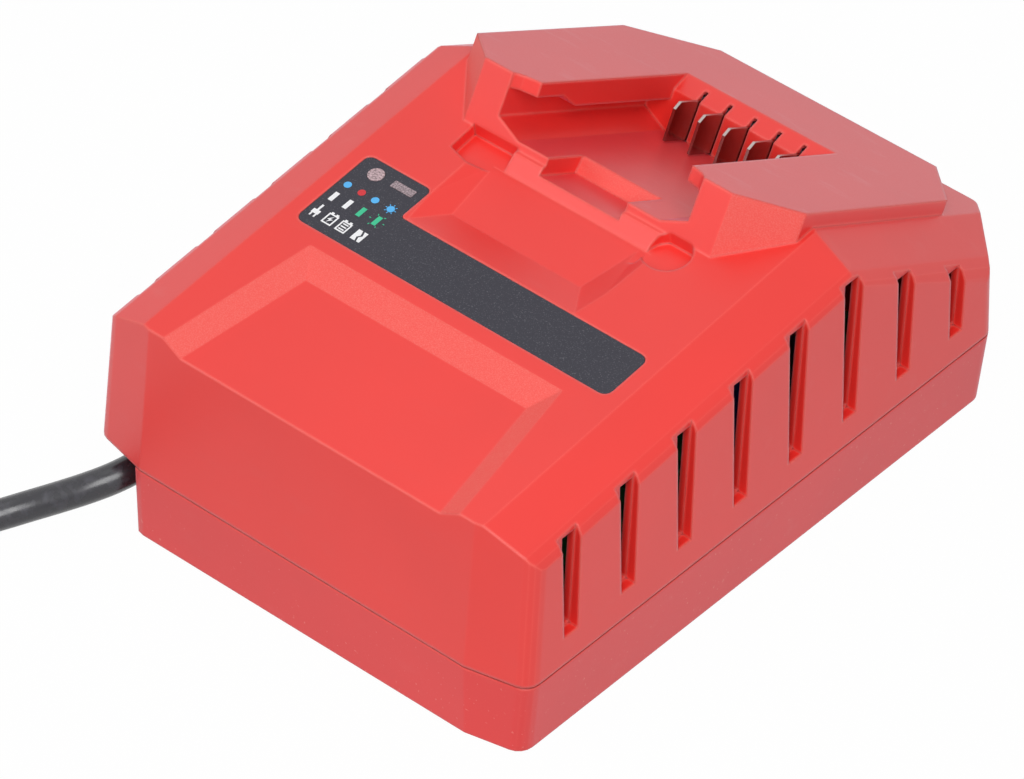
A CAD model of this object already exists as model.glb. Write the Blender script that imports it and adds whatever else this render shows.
"""Bench charger for a slide-on tool battery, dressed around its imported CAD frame.

Metres, in the frame's own axes: +X is the charger's right-hand side, +Y its back, z = 0 the bench.
"""

import math
from itertools import product

import bmesh
import bpy
from mathutils import Matrix, Vector
from mathutils.bvhtree import BVHTree


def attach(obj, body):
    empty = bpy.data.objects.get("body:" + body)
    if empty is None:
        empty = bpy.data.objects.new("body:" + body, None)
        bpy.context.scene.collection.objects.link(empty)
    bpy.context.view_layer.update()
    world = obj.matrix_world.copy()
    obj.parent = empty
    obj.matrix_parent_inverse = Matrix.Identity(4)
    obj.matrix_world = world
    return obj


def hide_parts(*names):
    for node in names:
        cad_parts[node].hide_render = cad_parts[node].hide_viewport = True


bl_info = {
    "name": "Tool Battery Charger",
    "version": (1, 0, 0),
    "blender": (4, 5, 0),
    "location": "3D View > Sidebar > Charger",
    "description": "Finishes, cord, printed marks, lights and camera for a tool battery charger",
    "category": "Object",
}

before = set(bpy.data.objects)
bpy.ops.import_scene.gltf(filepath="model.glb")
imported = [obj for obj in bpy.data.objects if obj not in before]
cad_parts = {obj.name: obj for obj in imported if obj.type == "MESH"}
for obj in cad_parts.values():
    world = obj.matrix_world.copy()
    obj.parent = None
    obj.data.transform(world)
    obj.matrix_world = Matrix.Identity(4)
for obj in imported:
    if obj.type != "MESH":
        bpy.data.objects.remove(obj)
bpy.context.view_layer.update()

MM = 0.001

# The case's sloping top, in which the label lies: its front edge, and the ways back along it and out of it
TOP_SLOPE = math.radians(6.5)
TOP_FRONT = Vector((0.0, -93.6, 66.2)) * MM
TOP_BACK = Vector((0.0, math.cos(TOP_SLOPE), math.sin(TOP_SLOPE)))
TOP_OUT = Vector((0.0, -math.sin(TOP_SLOPE), math.cos(TOP_SLOPE)))

# The raised plate round the battery channel: its front edge and the way out of it
PLATE_SLOPE = math.radians(28.3)
PLATE_FRONT = Vector((0.0, 15.7, 90.3)) * MM
PLATE_OUT = Vector((0.0, math.sin(PLATE_SLOPE), math.cos(PLATE_SLOPE)))

# Where the stippled slopes lie; each pair is a least and a greatest value
RECESS_HALF_WIDTH = 50 * MM
RECESS_ALONG = (-98 * MM, -48 * MM)
RECESS_DEPTH = (-3.2 * MM, -0.2 * MM)
RECESS_LEAN = (0.4, 0.985)
NOTCH_HALF_WIDTH = 13 * MM
NOTCH_DEPTH = (-19.4 * MM, -15 * MM)
ARM_INNER_X = 40 * MM
ARM_LOWEST_Z = 76 * MM

# How edges are rounded: what counts as flat or as one point, and the share of the radius that each takes
WELD_DISTANCE = 0.03 * MM
FLAT_ANGLE = math.radians(0.4)
LEAST_CREASE = math.radians(3)
INNER_SHARE = 0.5
ROOM_SHARE = 0.42
LEAST_SHARE = 0.08
ROUND_SEGMENTS = 3
SAME_NORMAL = 0.01
PLUG_RADIUS = 1.4 * MM
BLADE_RADIUS = 0.16 * MM
LOOKOUT_START = 0.05 * MM
LOOKOUTS = [Vector(way).normalized() for way in product((-1.0, -0.4, 0.4, 1.0), repeat=3)]

# The finishes' own sizes and colours
SHADED_RADIUS = 1.2 * MM
CREASE_REACH = 0.9 * MM
EDGE_CONTRAST = 12
RUBBED_RED = (0.95, 0.16, 0.13, 1.0)
CREASE_RED = (0.42, 0.003, 0.002, 1.0)
DUSTY_RED = (0.85, 0.35, 0.3, 1.0)
STIPPLE_RED = (0.84, 0.2, 0.17, 1.0)
LABEL_SAND = (0.14, 0.14, 0.16, 1.0)
SHEEN_TINT = (0.7, 0.65, 1.0, 1.0)
WHITE = (1.0, 1.0, 1.0, 1.0)

# The label's face, and its printed marks in millimetres: columns across the top and rows along it
LABEL_FACE = -0.1 * MM
PRINT_THICKNESS = 0.05 * MM
MARK_COLUMNS = (-47.2, -42.6, -38.2, -33.1)
DOT_ROW = 64.0
BAR_ROW = 58.9
ICON_ROW = 52.4
BAR_SIZE = (1.3, 3.2)

# The cord's route, from inside the case to the coil, as the CAD source has it
ROUTE = [Vector(point) * MM for point in (
    (-62, -42, 13), (-62, -56, 13), (-62, -70, 13), (-62, -84, 13),
    (-62.5, -91, 12.8), (-64.5, -97.5, 12), (-68, -103, 10.4), (-72.5, -108, 8.2),
    (-77, -113, 6.2), (-81, -118.5, 4.8), (-84.5, -125, 4.2), (-86.8, -133, 4.1),
    (-87.8, -143, 4.1), (-88.2, -158, 4.2), (-88.2, -180, 4.5), (-88.2, -205, 5.1),
    (-88.2, -226, 5.5), (-88.2, -244, 5.5))]
EXIT_KNOT = 3
CORD_DIAMETER = 8.0 * MM
COIL_CENTRE = Vector((-35.475, -252.0, 5.5)) * MM
COIL_INNER_RADIUS = 30.15 * MM
COIL_PITCH = 8.6 * MM
COIL_TURNS = 5.25
COIL_LIFT = 8.5 * MM
COIL_TAIL = 20.0 * MM

# What the camera looks at, and the stage round the charger
CAMERA_AIM = Vector((-1.7, -20.6, 27.4)) * MM
SENSOR_WIDTH = 36.0
BENCH_HALF = 4.0
BENCH_WHITENESS = 0.985
LAMP_AIM = Vector((0.0, 0.0, 0.05))
LAMPS = {
    "key": {"place": (0.62, -0.6, 1.05), "size": 0.8},
    "fill": {"place": (-0.65, -0.91, 0.7), "size": 0.7},
    "overhead": {"place": (-0.3, 0.2, 1.3), "size": 0.8},
}


# ---- shader values -------------------------------------------------------------------


class Value:
    """What a shader node gives. On numbers, Python's operators add the Math nodes."""

    def __init__(self, graph, socket):
        self.graph = graph
        self.socket = socket

    def math(self, operation, *operands):
        return self.graph.node("ShaderNodeMath", {"operation": operation}, dict(enumerate(operands)))

    def __add__(self, other):
        return self.math("ADD", self, other)

    def __sub__(self, other):
        return self.math("SUBTRACT", self, other)

    def __rsub__(self, other):
        return self.math("SUBTRACT", other, self)

    def __mul__(self, other):
        return self.math("MULTIPLY", self, other)

    __radd__ = __add__
    __rmul__ = __mul__

    def limited(self):
        return self.graph.node("ShaderNodeClamp", {}, {"Value": self})


class Graph:
    """A node tree, and the one way in which nodes are added to it."""

    def __init__(self, tree):
        self.tree = tree

    def connect(self, target, value):
        if isinstance(value, Value):
            self.tree.links.new(value.socket, target)
        else:
            target.default_value = value

    def node(self, kind, settings, inputs, output=0):
        made = self.tree.nodes.new(kind)
        for name, value in settings.items():
            if name == "stops":
                self.set_stops(made.color_ramp, value)
            else:
                setattr(made, name, value)
        for name, value in inputs.items():
            self.connect(made.inputs[name], value)
        return Value(self, made.outputs[output])

    @staticmethod
    def set_stops(ramp, stops):
        while len(ramp.elements) < len(stops):
            ramp.elements.new(0.5)
        for element, (position, grey) in zip(ramp.elements, stops):
            element.position = position
            element.color = (grey, grey, grey, 1.0)

    def seen_or_mirrored(self):
        """1 for what the camera sees, straight or in a reflection, and 0 for what only lights."""
        straight = self.node("ShaderNodeLightPath", {}, {}, "Is Camera Ray")
        mirrored = self.node("ShaderNodeLightPath", {}, {}, "Is Glossy Ray")
        return (straight + mirrored).limited()


class Finish(Graph):
    """One material: a Principled surface and the nodes that feed it."""

    def __init__(self, name, colour, roughness, **constants):
        self.material = bpy.data.materials.new(name)
        self.material.use_nodes = True
        self.material.diffuse_color = (*colour, 1.0)
        super().__init__(self.material.node_tree)
        self.surface = self.tree.nodes["Principled BSDF"]
        self.colour = colour
        self.feed("Base Color", (*colour, 1.0))
        self.feed("Roughness", roughness)
        for socket, value in constants.items():
            self.feed(socket.replace("_", " "), value)

    def feed(self, socket, value):
        self.connect(self.surface.inputs[socket], value)

    def noise(self, size, detail=2.0, stretch=None):
        """Noise from 0 to 1 whose features are about size across."""
        where = self.node("ShaderNodeTexCoord", {}, {}, "Object")
        if stretch:
            where = self.node("ShaderNodeVectorMath", {"operation": "MULTIPLY"}, {0: where, 1: stretch})
        return self.node("ShaderNodeTexNoise", {"noise_dimensions": "3D"},
                         {"Vector": where, "Scale": 1.0 / size, "Detail": detail}, "Fac")

    def stops(self, value, *stops):
        return self.node("ShaderNodeValToRGB", {"stops": stops}, {"Fac": value})

    def mixed(self, factor, first, second):
        """A colour between two colours."""
        return self.node("ShaderNodeMix", {"data_type": "RGBA"}, {0: factor, 6: first, 7: second}, 2)

    def tone(self, amount):
        """The finish's own colour, lighter or darker, as a plain colour."""
        return (*[min(1.0, channel * amount) for channel in self.colour], 1.0)

    def bump(self, height, depth, strength=1.0, edge_radius=0.0):
        """A raised grain; edge_radius also rounds the shading over the finest creases."""
        inputs = {"Height": height, "Distance": depth, "Strength": strength}
        if edge_radius:
            inputs["Normal"] = self.node("ShaderNodeBevel", {"samples": 4}, {"Radius": edge_radius})
        self.feed("Normal", self.node("ShaderNodeBump", {}, inputs))


def worn_edges(finish, radius):
    """A mask of the outer edges, where handling has rubbed the surface."""
    rounded = finish.node("ShaderNodeBevel", {"samples": 6}, {"Radius": radius})
    plain = finish.node("ShaderNodeNewGeometry", {}, {}, "Normal")
    agreement = finish.node("ShaderNodeVectorMath", {"operation": "DOT_PRODUCT"},
                            {0: rounded, 1: plain}, "Value")
    pointiness = finish.node("ShaderNodeNewGeometry", {}, {}, "Pointiness")
    outer = finish.stops(pointiness, (0.5, 0.0), (0.53, 1.0))
    return (EDGE_CONTRAST * (1 - agreement)).limited() * outer


def hidden_creases(finish, reach):
    """A mask of the narrow gaps and inner corners, where little light gets in."""
    opened = finish.node("ShaderNodeAmbientOcclusion", {"samples": 6}, {"Distance": reach}, "AO")
    return finish.stops(opened, (0.25, 1.0), (0.62, 0.0))


# ---- finishes ------------------------------------------------------------------------


def moulded_shell(name, colour, grain=0.45 * MM, roughness=0.33, dust=0.0):
    """Satin moulded plastic: a fine grain, scuffs, rubbed edges, dark creases and perhaps dust."""
    finish = Finish(name, colour, roughness, Specular_IOR_Level=0.72, Sheen_Weight=0.16,
                    Sheen_Roughness=0.35, Sheen_Tint=SHEEN_TINT)
    fine = finish.noise(grain, 3.0)
    broad = finish.noise(38 * MM, 2.0)
    scuffs = finish.stops(finish.noise(5 * MM, 4.0, (0.35, 1.0, 1.0)), (0.6, 0.0), (0.72, 1.0))
    body = finish.mixed(broad, finish.tone(0.93), finish.tone(1.06))
    surface = finish.mixed(worn_edges(finish, SHADED_RADIUS) * 0.55, body, RUBBED_RED)
    if dust:
        specks = finish.stops(finish.noise(0.9 * MM, 1.0), (0.7, 0.0), (0.78, 1.0))
        surface = finish.mixed(specks * dust, surface, DUSTY_RED)
    creases = hidden_creases(finish, CREASE_REACH)
    finish.feed("Base Color", finish.mixed(creases * 0.9, surface, CREASE_RED))
    finish.feed("Roughness", roughness + 0.1 * fine - 0.05 * scuffs)
    finish.bump(fine, 0.03 * MM, 0.35, SHADED_RADIUS)
    return finish.material


def stippled_shell(name, colour):
    """The coarser, paler grain on the sloping faces of the recess and the latch notch."""
    finish = Finish(name, colour, 0.58, Specular_IOR_Level=0.6)
    coarse = finish.noise(0.3 * MM, 3.0)
    spots = finish.stops(coarse, (0.45, 0.0), (0.65, 1.0))
    finish.feed("Base Color", finish.mixed(0.3 + spots * 0.3, finish.tone(1.0), STIPPLE_RED))
    finish.feed("Roughness", 0.5 + 0.2 * coarse)
    finish.bump(coarse, 0.08 * MM, 0.5, SHADED_RADIUS)
    return finish.material


def label_film(name, colour):
    """Dark printed film with a sandy grain that catches the light in specks."""
    finish = Finish(name, colour, 0.5)
    sand = finish.noise(0.35 * MM, 3.0)
    specks = finish.stops(sand, (0.58, 0.0), (0.7, 1.0))
    finish.feed("Base Color", finish.mixed(specks * 0.6, finish.tone(0.85), LABEL_SAND))
    finish.feed("Roughness", 0.42 + 0.25 * sand)
    finish.bump(sand, 0.06 * MM, 0.5)
    return finish.material


def printed_ink(name, colour):
    """Flat ink, laid on a little unevenly."""
    finish = Finish(name, colour, 0.55)
    patch = finish.noise(0.5 * MM, 2.0)
    finish.feed("Base Color", finish.mixed(patch, finish.tone(0.88), finish.tone(1.1)))
    return finish.material


def tinted_lens(name, colour):
    """A smoky window whose back face is etched, so that it sparkles."""
    finish = Finish(name, colour, 0.2, Coat_Weight=0.5, Coat_Roughness=0.08)
    etching = finish.noise(0.45 * MM, 3.0)
    sparkle = finish.stops(etching, (0.38, 0.0), (0.62, 1.0))
    finish.feed("Base Color", finish.mixed(sparkle, finish.tone(0.6), finish.tone(1.5)))
    finish.bump(etching, 0.05 * MM, 0.4)
    return finish.material


def plain_moulding(name, colour, roughness=0.45, grain=0.5 * MM):
    """A plain moulded, dipped or sleeved surface with a fine grain."""
    finish = Finish(name, colour, roughness)
    fine = finish.noise(grain, 3.0)
    finish.feed("Base Color", finish.mixed(fine, finish.tone(0.8), finish.tone(1.35)))
    finish.feed("Roughness", roughness - 0.05 + 0.12 * fine)
    finish.bump(fine, 0.03 * MM, 0.3)
    return finish.material


def cord_rubber(name, colour):
    """A soft extruded jacket: smooth along its length, with faint scuffs and a waxy sheen."""
    finish = Finish(name, colour, 0.3, Coat_Weight=0.3, Coat_Roughness=0.2)
    scuffs = finish.stops(finish.noise(2.2 * MM, 4.0), (0.5, 0.0), (0.75, 1.0))
    finish.feed("Base Color", finish.mixed(scuffs, finish.tone(1.0), finish.tone(1.9)))
    finish.feed("Roughness", 0.26 + 0.18 * scuffs)
    finish.bump(finish.noise(0.6 * MM, 2.0), 0.02 * MM, 0.25)
    return finish.material


def plated_metal(name, colour, roughness, along):
    """Plated sheet or wire with fine drawing lines; along stretches them to one direction."""
    finish = Finish(name, colour, roughness, Metallic=1.0)
    lines = finish.noise(0.35 * MM, 3.0, along)
    tarnish = finish.noise(3 * MM, 2.0)
    finish.feed("Base Color", finish.mixed(tarnish, finish.tone(0.82), finish.tone(1.08)))
    finish.feed("Roughness", roughness + 0.14 * lines)
    finish.bump(lines, 0.01 * MM, 0.25)
    return finish.material


def circuit_resist(name, colour):
    """Solder resist over copper: paler tracks under a glossy green skin."""
    finish = Finish(name, colour, 0.25, Coat_Weight=0.3, Coat_Roughness=0.1)
    tracks = finish.stops(finish.noise(5 * MM, 0.0), (0.48, 0.0), (0.5, 1.0))
    finish.feed("Base Color", finish.mixed(tracks, finish.tone(0.8), finish.tone(1.6)))
    finish.bump(tracks, 0.03 * MM, 0.4)
    return finish.material


def wound_copper(name, colour):
    """Enamelled wire laid turn by turn."""
    finish = Finish(name, colour, 0.3, Metallic=0.9)
    where = finish.node("ShaderNodeTexCoord", {}, {}, "Object")
    turns = finish.node("ShaderNodeTexWave", {"bands_direction": "X"},
                        {"Vector": where, "Scale": 220.0, "Distortion": 0.6}, "Fac")
    finish.feed("Base Color", finish.mixed(turns, finish.tone(0.5), finish.tone(1.15)))
    finish.bump(turns, 0.15 * MM, 0.6)
    return finish.material


# ---- geometry helpers ----------------------------------------------------------------


def on_top(x, along, out):
    """A place on the case's sloping top, along it from its front edge and out of it."""
    return TOP_FRONT + Vector((x, 0.0, 0.0)) + TOP_BACK * along + TOP_OUT * out


def between(low_and_high, value):
    """Whether a value lies inside a pair of limits."""
    low, high = low_and_high
    return low < value < high


def finished(material, *nodes):
    """Gives CAD nodes their material."""
    for node in nodes:
        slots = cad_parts[node].data.materials
        slots.clear()
        slots.append(material)


def add_piece(name, mesh, material):
    """A new piece of the charger, riding on its only body; a mesh with materials keeps them."""
    piece = bpy.data.objects.new(name, mesh)
    bpy.context.scene.collection.objects.link(piece)
    if not piece.data.materials:
        piece.data.materials.append(material)
    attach(piece, "root")
    return piece


def merged_mesh(node, name):
    """A copy of a CAD node's mesh with its flat faces made whole again."""
    mesh = bpy.data.meshes.new(name)
    shape = bmesh.new()
    shape.from_mesh(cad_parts[node].data)
    bmesh.ops.remove_doubles(shape, verts=shape.verts, dist=WELD_DISTANCE)
    bmesh.ops.dissolve_limit(shape, angle_limit=FLAT_ANGLE, verts=shape.verts, edges=shape.edges)
    bmesh.ops.recalc_face_normals(shape, faces=shape.faces)
    shape.to_mesh(mesh)
    shape.free()
    return mesh


def seen_from_outside(edge, shape_tree):
    """Whether some straight line leads from an edge out of the piece."""
    outward = sum((face.normal for face in edge.link_faces), Vector())
    start = (edge.verts[0].co + edge.verts[1].co) / 2 + outward.normalized() * LOOKOUT_START
    return any(shape_tree.ray_cast(start, way)[0] is None for way in LOOKOUTS)


def edge_share(edge, radius, shortest):
    """How much of the full radius an edge takes: less in a corner and where its neighbours are near."""
    wanted = 1.0 if edge.calc_face_angle_signed(0.0) > 0.0 else INNER_SHARE
    room = ROOM_SHARE * min(shortest[vert] for vert in edge.verts)
    return min(wanted, room / radius)


def weigh_edges(mesh, radius, walls):
    """Marks each crease that shows to be rounded, and keeps the others sharp."""
    shape = bmesh.new()
    shape.from_mesh(mesh)
    layer = shape.edges.layers.float.new("bevel_weight_edge")
    shortest = {vert: min(edge.calc_length() for edge in vert.link_edges) for vert in shape.verts}
    for edge in shape.edges:
        if not edge.is_manifold or edge.calc_face_angle(0.0) < LEAST_CREASE:
            continue
        share = edge_share(edge, radius, shortest)
        if share > LEAST_SHARE and seen_from_outside(edge, walls):
            edge[layer] = share
    shape.to_mesh(mesh)
    shape.free()


def wall_tree(*meshes):
    """The given meshes as one body to look out through."""
    shape = bmesh.new()
    for mesh in meshes:
        shape.from_mesh(mesh)
    tree = BVHTree.FromBMesh(shape)
    shape.free()
    return tree


def bevelled(mesh, radius):
    """The mesh with its weighted edges rounded, and the slot number that the new faces have."""
    piece = bpy.data.objects.new("blank", mesh)
    bpy.context.scene.collection.objects.link(piece)
    new_slot = len(mesh.materials)
    mesh.materials.append(mesh.materials[0])
    bevel = piece.modifiers.new("rounded edges", "BEVEL")
    bevel.width = radius
    bevel.segments = ROUND_SEGMENTS
    bevel.limit_method = "WEIGHT"
    bevel.material = new_slot
    view = bpy.context.evaluated_depsgraph_get()
    rounded = bpy.data.meshes.new_from_object(piece.evaluated_get(view))
    bpy.data.objects.remove(piece)
    return rounded, new_slot


def normals_at_vertices(mesh, new_slot):
    """For each vertex, the normals of the flat faces on it, and the mean of its rounded ones."""
    flat = [[] for _ in mesh.vertices]
    mean = [Vector() for _ in mesh.vertices]
    for face in mesh.polygons:
        for vertex in face.vertices:
            if face.material_index == new_slot:
                mean[vertex] += face.normal * face.area
            else:
                flat[vertex].append(face.normal.copy())
    return flat, mean


def corner_normal(face, vertex, flat, mean):
    """A rounded face takes the normal of the flat face that it runs into."""
    if flat[vertex]:
        return max(flat[vertex], key=face.normal.dot)
    return mean[vertex].normalized()


def corner_normals(mesh, new_slot):
    """A normal for every face corner: flat faces stay flat, and the rounds run smoothly into them."""
    flat, mean = normals_at_vertices(mesh, new_slot)
    normals = []
    for face in mesh.polygons:
        face.use_smooth = face.material_index == new_slot
        for vertex in face.vertices:
            normal = corner_normal(face, vertex, flat, mean) if face.use_smooth else face.normal.copy()
            normals.append(normal)
    return normals


def split_creases(mesh, normals):
    """Marks the edges across which the corner normals differ."""
    met = {}
    for face in mesh.polygons:
        corners = list(face.loop_indices)
        for corner, after in zip(corners, corners[1:] + corners[:1]):
            edge = mesh.loops[corner].edge_index
            for end in (corner, after):
                known = met.setdefault((edge, mesh.loops[end].vertex_index), normals[end])
                if (known - normals[end]).length > SAME_NORMAL:
                    mesh.edges[edge].use_edge_sharp = True


def soften(mesh, radius, walls):
    """The mesh with the edges that show rounded as a mould rounds them."""
    weigh_edges(mesh, radius, walls)
    rounded, new_slot = bevelled(mesh, radius)
    normals = corner_normals(rounded, new_slot)
    split_creases(rounded, normals)
    for face in rounded.polygons:
        if face.material_index == new_slot:
            face.material_index = 0
    rounded.materials.pop(index=new_slot)
    rounded.normals_split_custom_set(normals)
    return rounded


# ---- properties ----------------------------------------------------------------------


class CaseLook(bpy.types.PropertyGroup):
    shell_colour: bpy.props.FloatVectorProperty(
        name="Shell colour", description="Colour of the upper shell", subtype="COLOR",
        default=(0.8, 0.028, 0.02), min=0.0, max=1.0)
    tray_colour: bpy.props.FloatVectorProperty(
        name="Tray colour", description="Colour of the lower shell", subtype="COLOR",
        default=(0.76, 0.024, 0.022), min=0.0, max=1.0)
    edge_radius: bpy.props.FloatProperty(
        name="Edge radius", description="Radius of the shells' moulded edges",
        default=0.0013, min=0.0002, max=0.002, unit="LENGTH")


class LabelLook(bpy.types.PropertyGroup):
    film_colour: bpy.props.FloatVectorProperty(
        name="Film colour", description="Colour of the label", subtype="COLOR",
        default=(0.017, 0.016, 0.028), min=0.0, max=1.0)
    mark_size: bpy.props.FloatProperty(
        name="Mark size", description="Diameter of a printed dot",
        default=0.0021, min=0.001, max=0.003, unit="LENGTH")


class CordLook(bpy.types.PropertyGroup):
    jacket_colour: bpy.props.FloatVectorProperty(
        name="Jacket colour", description="Colour of the cord and the plug", subtype="COLOR",
        default=(0.022, 0.022, 0.028), min=0.0, max=1.0)


class StageLook(bpy.types.PropertyGroup):
    azimuth: bpy.props.FloatProperty(
        name="Azimuth", description="The camera's angle round the charger",
        default=math.radians(40.848), subtype="ANGLE")
    elevation: bpy.props.FloatProperty(
        name="Elevation", description="The camera's angle above the bench",
        default=math.radians(40.926), subtype="ANGLE")
    roll: bpy.props.FloatProperty(
        name="Roll", description="The camera's turn about its own line of sight",
        default=math.radians(0.576), subtype="ANGLE")
    distance: bpy.props.FloatProperty(
        name="Distance", description="From the camera to the point it looks at",
        default=1.784, min=0.2, unit="LENGTH")
    lens: bpy.props.FloatProperty(
        name="Lens", description="Focal length on a 36 mm wide sensor",
        default=255.16, min=10.0, unit="CAMERA")
    floor_colour: bpy.props.FloatVectorProperty(
        name="Floor colour", description="Colour of the bench", subtype="COLOR",
        default=(0.6, 0.6, 0.6), min=0.0, max=1.0)
    key_power: bpy.props.FloatProperty(
        name="Key light", description="Power of the main lamp",
        default=12.3, min=0.0, unit="POWER")
    fill_power: bpy.props.FloatProperty(
        name="Fill light", description="Power of the lamp at the front left",
        default=3.5, min=0.0, unit="POWER")
    overhead_power: bpy.props.FloatProperty(
        name="Overhead light", description="Power of the lamp overhead",
        default=1.2, min=0.0, unit="POWER")
    sky_strength: bpy.props.FloatProperty(
        name="Sky", description="Strength of the even light all round",
        default=0.3, min=0.0, max=1.0, subtype="FACTOR")


# ---- camera and cord -----------------------------------------------------------------


def view_axes(stage):
    """The camera's right, up and backward directions."""
    level = Vector((math.cos(stage.azimuth), math.sin(stage.azimuth), 0.0))
    back = Vector((math.sin(stage.azimuth) * math.cos(stage.elevation),
                   -math.cos(stage.azimuth) * math.cos(stage.elevation), math.sin(stage.elevation)))
    above = back.cross(level)
    right = level * math.cos(stage.roll) + above * math.sin(stage.roll)
    return right, back.cross(right), back


class CHARGER_OT_camera(bpy.types.Operator):
    """Put the camera at the photograph's viewpoint"""

    bl_idname = "charger.camera"
    bl_label = "Camera"

    def execute(self, context):
        stage = context.scene.charger_stage
        right, above, back = view_axes(stage)
        data = bpy.data.cameras.new("product_camera")
        data.sensor_width = SENSOR_WIDTH
        data.sensor_fit = "HORIZONTAL"
        data.lens = stage.lens
        data.clip_start = 0.05
        data.clip_end = 20.0
        camera = bpy.data.objects.new("product_camera", data)
        turn = Matrix((right, above, back)).transposed().to_4x4()
        camera.matrix_world = Matrix.Translation(CAMERA_AIM + back * stage.distance) @ turn
        context.scene.collection.objects.link(camera)
        context.scene.camera = camera
        return {"FINISHED"}


def smooth_point(points, knot, share):
    """A point on the smooth curve through points, between one knot and the next."""
    last = len(points) - 1
    before = points[knot - 1] if knot else 2 * points[0] - points[1]
    here = points[knot]
    ahead = points[knot + 1]
    beyond = points[knot + 2] if knot + 2 <= last else 2 * points[last] - points[last - 1]
    return 0.5 * (2 * here + (ahead - before) * share
                  + (2 * before - 5 * here + 4 * ahead - beyond) * share ** 2
                  + (3 * here - before - 3 * ahead + beyond) * share ** 3)


def smooth_path(points, parts=4):
    """Places along the smooth curve through points, so many parts to each step."""
    path = [smooth_point(points, knot, part / parts)
            for knot in range(len(points) - 1) for part in range(parts)]
    return path + [points[-1]]


def coil_point(turn):
    """The coil spirals in on the lower layer and out on the upper one."""
    middle = COIL_TURNS / 2
    climb = min(max((turn - middle + 0.25) / 0.5, 0.0), 1.0)
    radius = COIL_INNER_RADIUS + COIL_PITCH * abs(turn - middle)
    angle = 2 * math.pi * turn
    rise = COIL_LIFT * climb * climb * (3 - 2 * climb)
    return COIL_CENTRE + Vector((-radius * math.cos(angle), -radius * math.sin(angle), rise))


def coil_path(rings=40):
    """Places along the coil, so many to each turn, and its straight tail to the plug."""
    turns = [coil_point(ring / rings) for ring in range(int(COIL_TURNS * rings) + 1)]
    return turns + [turns[-1] + Vector((COIL_TAIL * share, 0.0, 0.0)) for share in (0.4, 0.7, 1.0)]


def path_length(path):
    """The length of a path from place to place."""
    return sum((after - before).length for before, after in zip(path, path[1:]))


def cord_piece(name, path, material):
    """A round cord along a path, as a curve of one spline."""
    curve = bpy.data.curves.new(name, "CURVE")
    curve.dimensions = "3D"
    curve.bevel_depth = CORD_DIAMETER / 2
    curve.bevel_resolution = 5
    curve.use_fill_caps = True
    spline = curve.splines.new("POLY")
    spline.points.add(len(path) - 1)
    for point, place in zip(spline.points, path):
        point.co = (*place, 1.0)
    spline.use_smooth = True
    return add_piece(name, curve, material)


class CHARGER_OT_cord(bpy.types.Operator):
    """Make the mains cord, its coil and the finishes of what is on it"""

    bl_idname = "charger.cord"
    bl_label = "Cord and plug"

    def execute(self, context):
        look = context.scene.charger_cord
        jacket = cord_rubber("cord_jacket", tuple(look.jacket_colour))
        moulded = plain_moulding("plug_moulding", tuple(look.jacket_colour), 0.4, 0.7 * MM)
        inside = cord_piece("cord_inside", ROUTE[:EXIT_KNOT + 1], jacket)
        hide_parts("mains_cord")
        path = smooth_path(ROUTE[EXIT_KNOT:]) + coil_path()
        cord = cord_piece("free_cord", path, jacket)
        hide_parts("mains_cord", "cord_coil")
        plug_mesh = merged_mesh("plug_body", "plug_shell")
        plug_mesh.materials.append(moulded)
        plug_mesh = soften(plug_mesh, PLUG_RADIUS, wall_tree(plug_mesh))
        plug = add_piece("plug_shell", plug_mesh, moulded)
        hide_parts("plug_body")
        finished(moulded, "strain_relief", "plug_relief", "cord_tie")
        finished(plated_metal("pin_plating", (0.72, 0.7, 0.66), 0.2, (1.0, 0.1, 1.0)), "plug_pins")
        path_length(path)
        return {"FINISHED"}


# ---- case ----------------------------------------------------------------------------


def in_grip_recess(face):
    """Whether a face is one of the recess's sloping sides."""
    depth = (face.center - TOP_FRONT).dot(TOP_OUT)
    inside = abs(face.center.x) < RECESS_HALF_WIDTH and between(RECESS_ALONG, face.center.y)
    return inside and between(RECESS_DEPTH, depth) and between(RECESS_LEAN, face.normal.dot(TOP_OUT))


def in_latch_notch(face):
    """Whether a face is the notch's back slope in the channel floor."""
    depth = (face.center - PLATE_FRONT).dot(PLATE_OUT)
    inside = abs(face.center.x) < NOTCH_HALF_WIDTH and between(NOTCH_DEPTH, depth)
    return inside and face.normal.y < -0.5


def on_arm_corner(face):
    """Whether a face is the cut front corner of one of the plate's arms."""
    leans = abs(face.normal.x) > 0.65 and face.normal.y < -0.55 and face.normal.z > 0.25
    return leans and abs(face.center.x) > ARM_INNER_X and face.center.z > ARM_LOWEST_Z


def stipple_slopes(mesh):
    """Gives the stippled slopes the mesh's second material."""
    for face in mesh.polygons:
        if in_grip_recess(face) or in_latch_notch(face) or on_arm_corner(face):
            face.material_index = 1


class CHARGER_OT_shells(bpy.types.Operator):
    """Round and finish the two moulded shells"""

    bl_idname = "charger.shells"
    bl_label = "Shells"

    def execute(self, context):
        look = context.scene.charger_case
        red = moulded_shell("red_shell", tuple(look.shell_colour))
        stipple = stippled_shell("red_stipple", tuple(look.shell_colour))
        tray_red = moulded_shell("red_tray", tuple(look.tray_colour), roughness=0.38, dust=0.35)
        cover_mesh = merged_mesh("top_cover", "upper_shell")
        cover_mesh.materials.append(red)
        cover_mesh.materials.append(stipple)
        stipple_slopes(cover_mesh)
        tray_mesh = merged_mesh("bottom_tray", "lower_shell")
        tray_mesh.materials.append(tray_red)
        walls = wall_tree(cover_mesh, tray_mesh)
        cover = add_piece("upper_shell", soften(cover_mesh, look.edge_radius, walls), red)
        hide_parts("top_cover")
        tray = add_piece("lower_shell", soften(tray_mesh, look.edge_radius, walls), tray_red)
        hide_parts("bottom_tray")
        return {"FINISHED"}


# ---- label ---------------------------------------------------------------------------


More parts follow.
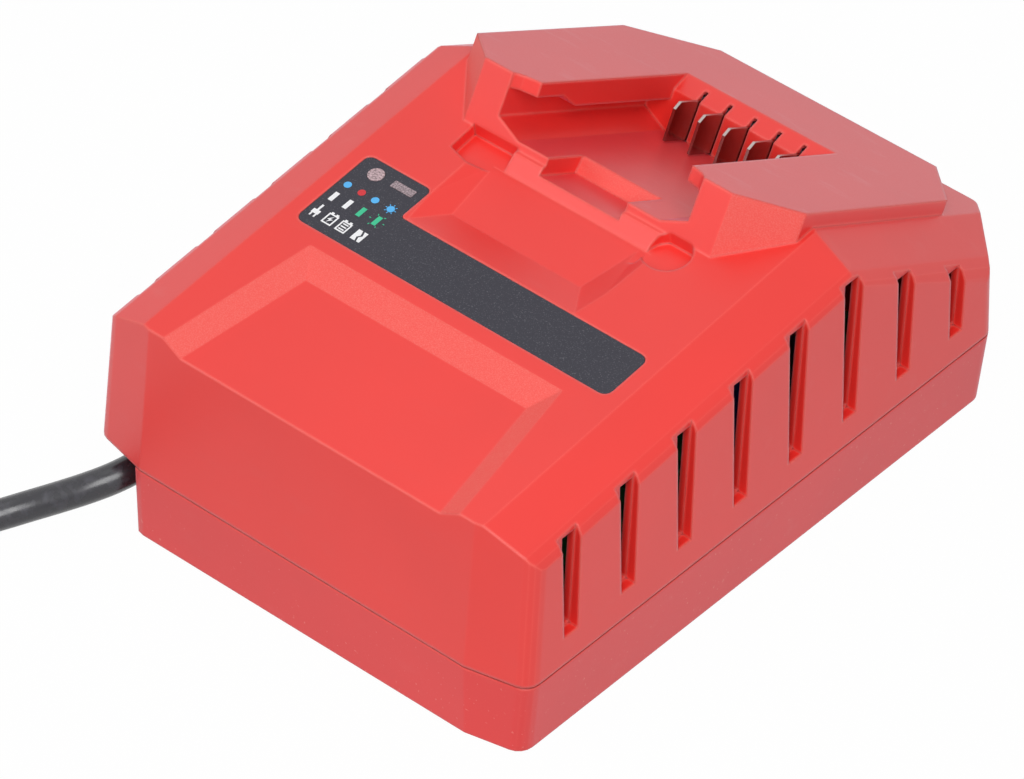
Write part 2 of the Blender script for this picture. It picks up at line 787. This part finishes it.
def disc(x, along, radius, steps=28):
    """A round dot about (x, along)."""
    return [(x + radius * math.cos(2 * math.pi * step / steps),
             along + radius * math.sin(2 * math.pi * step / steps)) for step in range(steps)]


def bar(x, along, width, height, turn=0.0):
    """A rectangle about (x, along), turned."""
    corners = ((-1, -1), (1, -1), (1, 1), (-1, 1))
    return [(x + side * width / 2 * math.cos(turn) - end * height / 2 * math.sin(turn),
             along + side * width / 2 * math.sin(turn) + end * height / 2 * math.cos(turn))
            for side, end in corners]


def rays(x, along, near, far, count=8):
    """Short strokes round a mark, which say that the lamp flashes."""
    middle = (near + far) / 2
    return [bar(x + middle * math.cos(turn), along + middle * math.sin(turn), far - near, 0.22, turn)
            for turn in (2 * math.pi * ray / count for ray in range(count))]


def hollow_box(x, along, width, height, line):
    """Four strokes round a rectangle."""
    aside = (width - line) / 2
    ahead = (height - line) / 2
    return [bar(x, along - ahead, width, line), bar(x, along + ahead, width, line),
            bar(x - aside, along, line, height - 2 * line), bar(x + aside, along, line, height - 2 * line)]


def plug_icon(x, along):
    """A mains plug with its two pins towards the front and its cord behind."""
    pins = [bar(x + side * 0.65, along - 1.25, 0.45, 1.1) for side in (-1, 1)]
    return [bar(x, along, 2.2, 1.4), bar(x, along + 1.75, 0.6, 2.1)] + pins


def battery_icon(x, along):
    """A battery's outline with its two terminals."""
    terminals = [bar(x + side * 0.75, along + 2.05, 0.8, 0.5) for side in (-1, 1)]
    return hollow_box(x, along, 3.1, 3.6, 0.42) + terminals


def bolt_icon(x, along):
    """The lightning bolt inside a battery that charges."""
    return [[(x + 0.4, along + 1.2), (x - 0.75, along - 0.18), (x - 0.06, along - 0.18),
             (x - 0.4, along - 1.2), (x + 0.75, along + 0.18), (x + 0.06, along + 0.18)]]


def cells_icon(x, along):
    """A battery with all its bars, for one that is full."""
    return battery_icon(x, along) + [bar(x, along + row, 1.7, 0.4) for row in (-0.9, 0.0, 0.9)]


def broken_icon(x, along):
    """A battery cracked in two."""
    left = [(x - 1.5, along - 1.8), (x + 0.1, along - 1.8), (x - 0.35, along - 0.5),
            (x + 0.25, along + 0.35), (x - 0.25, along + 1.8), (x - 1.5, along + 1.8)]
    right = [(x + 0.65, along - 1.8), (x + 1.5, along - 1.8), (x + 1.5, along + 1.8),
             (x + 0.35, along + 1.8), (x + 0.85, along + 0.35), (x + 0.2, along - 0.5)]
    return [left, right]


def print_marks(name, outlines, material):
    """Ink on the label: flat shapes, in millimetres across and along the top."""
    shape = bmesh.new()
    for outline in outlines:
        low, high = ([shape.verts.new(on_top(x * MM, along * MM, out)) for x, along in outline]
                     for out in (LABEL_FACE, LABEL_FACE + PRINT_THICKNESS))
        shape.faces.new(high)
        shape.faces.new(low[::-1])
        for index in range(len(outline)):
            after = (index + 1) % len(outline)
            shape.faces.new((low[index], low[after], high[after], high[index]))
    mesh = bpy.data.meshes.new(name)
    bmesh.ops.recalc_face_normals(shape, faces=shape.faces)
    shape.to_mesh(mesh)
    shape.free()
    return add_piece(name, mesh, material)


class CHARGER_OT_label(bpy.types.Operator):
    """Finish the label, its windows and its printed marks"""

    bl_idname = "charger.label"
    bl_label = "Label"

    def execute(self, context):
        look = context.scene.charger_label
        radius = look.mark_size / MM / 2
        finished(label_film("label_film", tuple(look.film_colour)), "label_plate")
        finished(tinted_lens("round_lens", (0.4, 0.28, 0.3)), "round_window")
        finished(tinted_lens("bar_lens", (0.27, 0.2, 0.22)), "bar_window")
        first, second, third, fourth = MARK_COLUMNS
        blue = [disc(column, DOT_ROW, radius) for column in (first, third, fourth)]
        blue += rays(fourth, DOT_ROW, radius + 0.15, radius + 0.6)
        print_marks("blue_dots", blue, printed_ink("blue_ink", (0.1, 0.46, 0.88)))
        print_marks("red_dot", [disc(second, DOT_ROW, radius)], printed_ink("red_ink", (0.62, 0.03, 0.04)))
        white_ink = printed_ink("white_ink", (0.88, 0.88, 0.9))
        print_marks("white_bars", [bar(column, BAR_ROW, *BAR_SIZE) for column in (first, second)], white_ink)
        green = [bar(column, BAR_ROW, *BAR_SIZE) for column in (third, fourth)]
        green += rays(fourth, BAR_ROW, 1.9, 2.4, 6)
        print_marks("green_bars", green, printed_ink("green_ink", (0.045, 0.53, 0.28)))
        symbols = (plug_icon(first, ICON_ROW) + battery_icon(second, ICON_ROW) + bolt_icon(second, ICON_ROW)
                   + cells_icon(third, ICON_ROW) + broken_icon(fourth, ICON_ROW))
        print_marks("icons", symbols, white_ink)
        return {"FINISHED"}


# ---- small parts ---------------------------------------------------------------------


class CHARGER_OT_contacts(bpy.types.Operator):
    """Finish the contact blades and the block that holds them"""

    bl_idname = "charger.contacts"
    bl_label = "Contacts"

    def execute(self, context):
        nickel = plated_metal("contact_nickel", (0.36, 0.3, 0.29), 0.1, (1.0, 0.2, 0.2))
        rubbed = plated_metal("contact_edge", (0.92, 0.9, 0.87), 0.16, (1.0, 0.2, 0.2))
        for number in range(1, 6):
            name = f"contact_blade_{number}"
            finished(nickel, name)
            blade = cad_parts[name]
            blade.data.materials.append(rubbed)
            edges = blade.modifiers.new("pressed edges", "BEVEL")
            edges.width = BLADE_RADIUS
            edges.segments = 2
            edges.material = 1
        finished(plain_moulding("carrier_plastic", (0.03, 0.03, 0.033)), "contact_carrier")
        return {"FINISHED"}


class CHARGER_OT_fixings(bpy.types.Operator):
    """Finish the screws, the feet and the cord clamp"""

    bl_idname = "charger.fixings"
    bl_label = "Fixings and feet"

    def execute(self, context):
        zinc = plated_metal("zinc_plate", (0.6, 0.6, 0.58), 0.3, (1.0, 1.0, 0.2))
        finished(zinc, "case_screws", "board_screws", "led_board_screws", "clamp_screw")
        finished(plain_moulding("foot_rubber", (0.02, 0.02, 0.02), 0.75, 0.9 * MM), "rubber_feet")
        finished(plain_moulding("clamp_plastic", (0.03, 0.03, 0.03)), "cord_clamp")
        return {"FINISHED"}


class CHARGER_OT_electronics(bpy.types.Operator):
    """Finish the boards and the parts on them"""

    bl_idname = "charger.electronics"
    bl_label = "Electronics"

    def execute(self, context):
        finished(circuit_resist("solder_resist", (0.02, 0.14, 0.05)), "main_board", "led_board")
        ferrite = plain_moulding("ferrite", (0.05, 0.05, 0.055), 0.6, 0.8 * MM)
        finished(ferrite, "transformer_core", "choke_core")
        finished(plain_moulding("bobbin_plastic", (0.03, 0.03, 0.03)), "transformer_bobbin")
        finished(plain_moulding("winding_tape", (0.7, 0.45, 0.05), 0.35, 4 * MM), "transformer_winding")
        finished(wound_copper("enamelled_wire", (0.65, 0.27, 0.1)), "choke_winding")
        finished(plain_moulding("capacitor_box", (0.66, 0.5, 0.06), 0.3, 3 * MM), "noise_capacitor")
        sleeve = plain_moulding("capacitor_sleeve", (0.02, 0.035, 0.16), 0.25, 5 * MM)
        finished(sleeve, "bulk_capacitor", "output_capacitors")
        fins = plated_metal("extruded_aluminium", (0.62, 0.63, 0.65), 0.35, (1.0, 1.0, 0.1))
        finished(fins, "primary_heatsink", "secondary_heatsink")
        epoxy = plain_moulding("chip_epoxy", (0.03, 0.03, 0.033), 0.5, 0.4 * MM)
        finished(epoxy, "bridge_rectifier", "power_switch", "output_diode", "control_chips", "fuse")
        finished(plain_moulding("led_resin", (0.7, 0.72, 0.66), 0.3, 1 * MM), "status_leds")
        finished(plain_moulding("terminal_plastic", (0.03, 0.22, 0.1), 0.4, 0.6 * MM), "mains_terminal")
        return {"FINISHED"}


# ---- stage ---------------------------------------------------------------------------


def bench_paper(colour, whiteness):
    """Paper that looks nearly white to the camera and in reflections, and keeps its shadow."""
    paper = Finish("bench_paper", colour, 0.9)
    paper.bump(paper.noise(1.5 * MM, 2.0), 0.01 * MM, 0.1)
    glow = paper.node("ShaderNodeEmission", {}, {"Color": WHITE, "Strength": 1.0})
    lit = Value(paper, paper.surface.outputs[0])
    blend = paper.node("ShaderNodeMixShader", {}, {0: paper.seen_or_mirrored() * whiteness, 1: lit, 2: glow})
    paper.connect(paper.tree.nodes["Material Output"].inputs["Surface"], blend)
    return paper.material


def studio_world(strength):
    """Even light all round, at the given strength; it looks white to the camera and in reflections."""
    world = bpy.data.worlds.new("studio")
    world.use_nodes = True
    graph = Graph(world.node_tree)
    even = graph.node("ShaderNodeBackground", {}, {"Color": WHITE, "Strength": strength})
    bright = graph.node("ShaderNodeBackground", {}, {"Color": WHITE, "Strength": 1.0})
    blend = graph.node("ShaderNodeMixShader", {}, {0: graph.seen_or_mirrored(), 1: even, 2: bright})
    graph.connect(graph.tree.nodes["World Output"].inputs["Surface"], blend)
    return world


def add_bench(half, material):
    """A flat square bench, half of its side each way from the middle."""
    corners = [(-half, -half, 0.0), (half, -half, 0.0), (half, half, 0.0), (-half, half, 0.0)]
    mesh = bpy.data.meshes.new("bench")
    mesh.from_pydata(corners, [], [(0, 1, 2, 3)])
    mesh.materials.append(material)
    bench = bpy.data.objects.new("bench", mesh)
    bpy.context.scene.collection.objects.link(bench)


def add_lamp(name, place, aim, size, power):
    """A square soft lamp at a place, turned to what it aims at."""
    data = bpy.data.lights.new(name, "AREA")
    data.shape = "RECTANGLE"
    data.size = size
    data.size_y = size
    data.energy = power
    lamp = bpy.data.objects.new(name, data)
    lamp.matrix_world = Matrix.Translation(place) @ (place - aim).to_track_quat("Z", "Y").to_matrix().to_4x4()
    bpy.context.scene.collection.objects.link(lamp)


class CHARGER_OT_stage(bpy.types.Operator):
    """Make the bench, the lamps and the even light all round"""

    bl_idname = "charger.stage"
    bl_label = "Stage and lights"

    def execute(self, context):
        stage = context.scene.charger_stage
        context.scene.view_settings.view_transform = "Standard"
        add_bench(BENCH_HALF, bench_paper(tuple(stage.floor_colour), BENCH_WHITENESS))
        context.scene.world = studio_world(stage.sky_strength)
        for name, lamp in LAMPS.items():
            power = getattr(stage, f"{name}_power")
            add_lamp(f"{name}_lamp", Vector(lamp["place"]), LAMP_AIM, lamp["size"], power)
        return {"FINISHED"}


# ---- add-on --------------------------------------------------------------------------

STEPS = (CHARGER_OT_camera, CHARGER_OT_cord, CHARGER_OT_shells, CHARGER_OT_label,
         CHARGER_OT_contacts, CHARGER_OT_fixings, CHARGER_OT_electronics, CHARGER_OT_stage)
LOOKS = {"charger_case": CaseLook, "charger_label": LabelLook,
         "charger_cord": CordLook, "charger_stage": StageLook}


class CHARGER_PT_panel(bpy.types.Panel):
    """The charger's looks and the steps that make it"""

    bl_idname = "CHARGER_PT_panel"
    bl_label = "Charger"
    bl_space_type = "VIEW_3D"
    bl_region_type = "UI"
    bl_category = "Charger"

    def draw(self, context):
        for group, look in LOOKS.items():
            for name in look.__annotations__:
                self.layout.prop(getattr(context.scene, group), name)
        for step in STEPS:
            self.layout.operator(step.bl_idname)


def register():
    for look in LOOKS.values():
        bpy.utils.register_class(look)
    for group, look in LOOKS.items():
        setattr(bpy.types.Scene, group, bpy.props.PointerProperty(type=look))
    for step in STEPS:
        bpy.utils.register_class(step)
    bpy.utils.register_class(CHARGER_PT_panel)


def unregister():
    bpy.utils.unregister_class(CHARGER_PT_panel)
    for step in reversed(STEPS):
        bpy.utils.unregister_class(step)
    for group in LOOKS:
        delattr(bpy.types.Scene, group)
    for look in reversed(LOOKS.values()):
        bpy.utils.unregister_class(look)


def main():
    """Makes the whole scene, step by step, and notes its size."""
    register()
    bpy.ops.charger.camera()
    bpy.ops.charger.cord()
    bpy.ops.charger.shells()
    bpy.ops.charger.label()
    bpy.ops.charger.contacts()
    bpy.ops.charger.fixings()
    bpy.ops.charger.electronics()
    bpy.ops.charger.stage()


if __name__ == "__main__":
    main()
